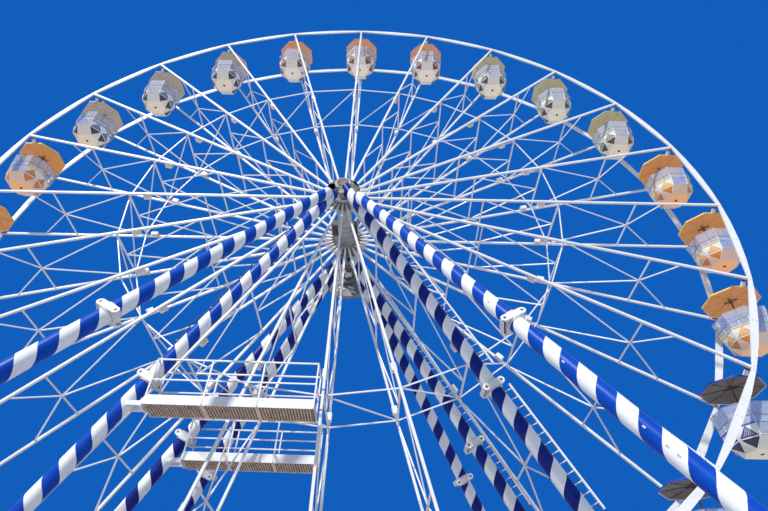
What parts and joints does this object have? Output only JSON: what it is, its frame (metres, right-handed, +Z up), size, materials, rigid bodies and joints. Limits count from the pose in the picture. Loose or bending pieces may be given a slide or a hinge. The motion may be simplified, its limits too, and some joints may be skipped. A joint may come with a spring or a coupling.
{
  "type": "ferris wheel",
  "caption": "Transportable ferris wheel: open lattice wheel with level-hanging umbrella-roofed gondolas, turning on a hub between two sets of barber-striped legs.",
  "frame": {"origin": "on the ground under the middle of the wheel", "axes": "+Z up, Y along the wheel's axle with -Y towards the picture's camera, X across the wheel"},
  "size_m": [33.5, 18.293, 34.795],
  "materials": {
    "white_steel": "gloss white paint, chalky and grey-stained",
    "striped_leg": "blue and white barber-pole bands",
    "grey_steel": "galvanised grey",
    "hub_metal": "tan-grey paint, greasy",
    "deck_plate": "chequered plate",
    "drive_blue": "satin blue paint",
    "tyre_rubber": "black rubber",
    "gondola_orange": "white shell with orange roof and triangles",
    "gondola_blue": "white shell with blue roof and triangles",
    "gondola_red": "white shell with red roof and triangles",
    "gondola_green": "white shell with green roof and triangles"
  },
  "bodies": {
    "frame": {"axle": "grey_steel", "leg_head_front": "white_steel", "leg_head_back": "white_steel", "slip_ring_unit": "grey_steel", "leg_front_left_inner": "striped_leg", "leg_front_left_outer": "striped_leg", "leg_front_right_inner": "striped_leg", "leg_front_right_outer": "striped_leg", "leg_back_left_inner": "striped_leg", "leg_back_left_outer": "striped_leg", "leg_back_right_inner": "striped_leg", "leg_back_right_outer": "striped_leg", "base_beam_left": "grey_steel", "base_beam_right": "grey_steel", "base_tie_front": "grey_steel", "base_tie_back": "grey_steel", "boarding_deck_front": "deck_plate", "boarding_deck_back": "deck_plate", "work_platform_front": "white_steel", "work_platform_back": "white_steel", "drive_stand_front": "drive_blue", "drive_stand_back": "drive_blue"},
    "wheel": {"rim_front_1": "white_steel", "rim_front_2": "white_steel", "rim_back_1": "white_steel", "rim_back_2": "white_steel", "spoke_frame_1": "white_steel", "spoke_frame_2": "white_steel", "spoke_frame_3": "white_steel", "spoke_frame_4": "white_steel", "hub": "hub_metal"},
    "tyre_front": {"drive_tyre_front": "tyre_rubber"},
    "tyre_back": {"drive_tyre_back": "tyre_rubber"},
    "gondola_01_body": {"gondola_01": "gondola_orange"},
    "gondola_02_body": {"gondola_02": "gondola_blue"},
    "gondola_03_body": {"gondola_03": "gondola_blue"},
    "gondola_04_body": {"gondola_04": "gondola_blue"},
    "gondola_05_body": {"gondola_05": "gondola_red"},
    "gondola_06_body": {"gondola_06": "gondola_red"},
    "gondola_07_body": {"gondola_07": "gondola_red"},
    "gondola_08_body": {"gondola_08": "gondola_green"},
    "gondola_09_body": {"gondola_09": "gondola_green"},
    "gondola_10_body": {"gondola_10": "gondola_green"},
    "gondola_11_body": {"gondola_11": "gondola_orange"},
    "gondola_12_body": {"gondola_12": "gondola_orange"},
    "gondola_13_body": {"gondola_13": "gondola_orange"},
    "gondola_14_body": {"gondola_14": "gondola_blue"},
    "gondola_15_body": {"gondola_15": "gondola_blue"},
    "gondola_16_body": {"gondola_16": "gondola_blue"},
    "gondola_17_body": {"gondola_17": "gondola_red"},
    "gondola_18_body": {"gondola_18": "gondola_red"},
    "gondola_19_body": {"gondola_19": "gondola_red"},
    "gondola_20_body": {"gondola_20": "gondola_green"},
    "gondola_21_body": {"gondola_21": "gondola_green"},
    "gondola_22_body": {"gondola_22": "gondola_green"},
    "gondola_23_body": {"gondola_23": "gondola_orange"},
    "gondola_24_body": {"gondola_24": "gondola_orange"}
  },
  "joints": [
    {"name": "wheel_spin", "type": "hinge", "parent": "frame", "child": "wheel", "pos_m": [0, 0, 18.81], "axis": [0, 1, 0], "continuous": true},
    {"name": "gondola_01_level", "type": "hinge", "parent": "wheel", "child": "gondola_01_body", "pos_m": [-15.25197, 0, 22.89675], "axis": [0, 1, 0], "continuous": true},
    {"name": "gondola_02_level", "type": "hinge", "parent": "wheel", "child": "gondola_02_body", "pos_m": [-13.67454, 0, 26.705], "axis": [0, 1, 0], "continuous": true},
    {"name": "gondola_03_level", "type": "hinge", "parent": "wheel", "child": "gondola_03_body", "pos_m": [-11.16522, 0, 29.97522], "axis": [0, 1, 0], "continuous": true},
    {"name": "gondola_04_level", "type": "hinge", "parent": "wheel", "child": "gondola_04_body", "pos_m": [-7.895, 0, 32.48454], "axis": [0, 1, 0], "continuous": true},
    {"name": "gondola_05_level", "type": "hinge", "parent": "wheel", "child": "gondola_05_body", "pos_m": [-4.08675, 0, 34.06197], "axis": [0, 1, 0], "continuous": true},
    {"name": "gondola_06_level", "type": "hinge", "parent": "wheel", "child": "gondola_06_body", "pos_m": [0, 0, 34.6], "axis": [0, 1, 0], "continuous": true},
    {"name": "gondola_07_level", "type": "hinge", "parent": "wheel", "child": "gondola_07_body", "pos_m": [4.08675, 0, 34.06197], "axis": [0, 1, 0], "continuous": true},
    {"name": "gondola_08_level", "type": "hinge", "parent": "wheel", "child": "gondola_08_body", "pos_m": [7.895, 0, 32.48454], "axis": [0, 1, 0], "continuous": true},
    {"name": "gondola_09_level", "type": "hinge", "parent": "wheel", "child": "gondola_09_body", "pos_m": [11.16522, 0, 29.97522], "axis": [0, 1, 0], "continuous": true},
    {"name": "gondola_10_level", "type": "hinge", "parent": "wheel", "child": "gondola_10_body", "pos_m": [13.67454, 0, 26.705], "axis": [0, 1, 0], "continuous": true},
    {"name": "gondola_11_level", "type": "hinge", "parent": "wheel", "child": "gondola_11_body", "pos_m": [15.25197, 0, 22.89675], "axis": [0, 1, 0], "continuous": true},
    {"name": "gondola_12_level", "type": "hinge", "parent": "wheel", "child": "gondola_12_body", "pos_m": [15.79, 0, 18.81], "axis": [0, 1, 0], "continuous": true},
    {"name": "gondola_13_level", "type": "hinge", "parent": "wheel", "child": "gondola_13_body", "pos_m": [15.25197, 0, 14.72325], "axis": [0, 1, 0], "continuous": true},
    {"name": "gondola_14_level", "type": "hinge", "parent": "wheel", "child": "gondola_14_body", "pos_m": [13.67454, 0, 10.915], "axis": [0, 1, 0], "continuous": true},
    {"name": "gondola_15_level", "type": "hinge", "parent": "wheel", "child": "gondola_15_body", "pos_m": [11.16522, 0, 7.64478], "axis": [0, 1, 0], "continuous": true},
    {"name": "gondola_16_level", "type": "hinge", "parent": "wheel", "child": "gondola_16_body", "pos_m": [7.895, 0, 5.13546], "axis": [0, 1, 0], "continuous": true},
    {"name": "gondola_17_level", "type": "hinge", "parent": "wheel", "child": "gondola_17_body", "pos_m": [4.08675, 0, 3.55803], "axis": [0, 1, 0], "continuous": true},
    {"name": "gondola_18_level", "type": "hinge", "parent": "wheel", "child": "gondola_18_body", "pos_m": [0, 0, 3.02], "axis": [0, 1, 0], "continuous": true},
    {"name": "gondola_19_level", "type": "hinge", "parent": "wheel", "child": "gondola_19_body", "pos_m": [-4.08675, 0, 3.55803], "axis": [0, 1, 0], "continuous": true},
    {"name": "gondola_20_level", "type": "hinge", "parent": "wheel", "child": "gondola_20_body", "pos_m": [-7.895, 0, 5.13546], "axis": [0, 1, 0], "continuous": true},
    {"name": "gondola_21_level", "type": "hinge", "parent": "wheel", "child": "gondola_21_body", "pos_m": [-11.16522, 0, 7.64478], "axis": [0, 1, 0], "continuous": true},
    {"name": "gondola_22_level", "type": "hinge", "parent": "wheel", "child": "gondola_22_body", "pos_m": [-13.67454, 0, 10.915], "axis": [0, 1, 0], "continuous": true},
    {"name": "gondola_23_level", "type": "hinge", "parent": "wheel", "child": "gondola_23_body", "pos_m": [-15.25197, 0, 14.72325], "axis": [0, 1, 0], "continuous": true},
    {"name": "gondola_24_level", "type": "hinge", "parent": "wheel", "child": "gondola_24_body", "pos_m": [-15.79, 0, 18.81], "axis": [0, 1, 0], "continuous": true},
    {"name": "tyre_front_spin", "type": "hinge", "parent": "frame", "child": "tyre_front", "pos_m": [5.3, -1.278, 3.40524], "axis": [0, 1, 0], "continuous": true},
    {"name": "tyre_back_spin", "type": "hinge", "parent": "frame", "child": "tyre_back", "pos_m": [5.3, 1.278, 3.40524], "axis": [0, 1, 0], "continuous": true}
  ],
  "couplings": [
    {"joint": "gondola_01_level", "follows": "wheel_spin", "ratio": -1},
    {"joint": "gondola_02_level", "follows": "wheel_spin", "ratio": -1},
    {"joint": "gondola_03_level", "follows": "wheel_spin", "ratio": -1},
    {"joint": "gondola_04_level", "follows": "wheel_spin", "ratio": -1},
    {"joint": "gondola_05_level", "follows": "wheel_spin", "ratio": -1},
    {"joint": "gondola_06_level", "follows": "wheel_spin", "ratio": -1},
    {"joint": "gondola_07_level", "follows": "wheel_spin", "ratio": -1},
    {"joint": "gondola_08_level", "follows": "wheel_spin", "ratio": -1},
    {"joint": "gondola_09_level", "follows": "wheel_spin", "ratio": -1},
    {"joint": "gondola_10_level", "follows": "wheel_spin", "ratio": -1},
    {"joint": "gondola_11_level", "follows": "wheel_spin", "ratio": -1},
    {"joint": "gondola_12_level", "follows": "wheel_spin", "ratio": -1},
    {"joint": "gondola_13_level", "follows": "wheel_spin", "ratio": -1},
    {"joint": "gondola_14_level", "follows": "wheel_spin", "ratio": -1},
    {"joint": "gondola_15_level", "follows": "wheel_spin", "ratio": -1},
    {"joint": "gondola_16_level", "follows": "wheel_spin", "ratio": -1},
    {"joint": "gondola_17_level", "follows": "wheel_spin", "ratio": -1},
    {"joint": "gondola_18_level", "follows": "wheel_spin", "ratio": -1},
    {"joint": "gondola_19_level", "follows": "wheel_spin", "ratio": -1},
    {"joint": "gondola_20_level", "follows": "wheel_spin", "ratio": -1},
    {"joint": "gondola_21_level", "follows": "wheel_spin", "ratio": -1},
    {"joint": "gondola_22_level", "follows": "wheel_spin", "ratio": -1},
    {"joint": "gondola_23_level", "follows": "wheel_spin", "ratio": -1},
    {"joint": "gondola_24_level", "follows": "wheel_spin", "ratio": -1},
    {"joint": "tyre_front_spin", "follows": "wheel_spin", "ratio": -53.283},
    {"joint": "tyre_back_spin", "follows": "wheel_spin", "ratio": -53.283}
  ]
}
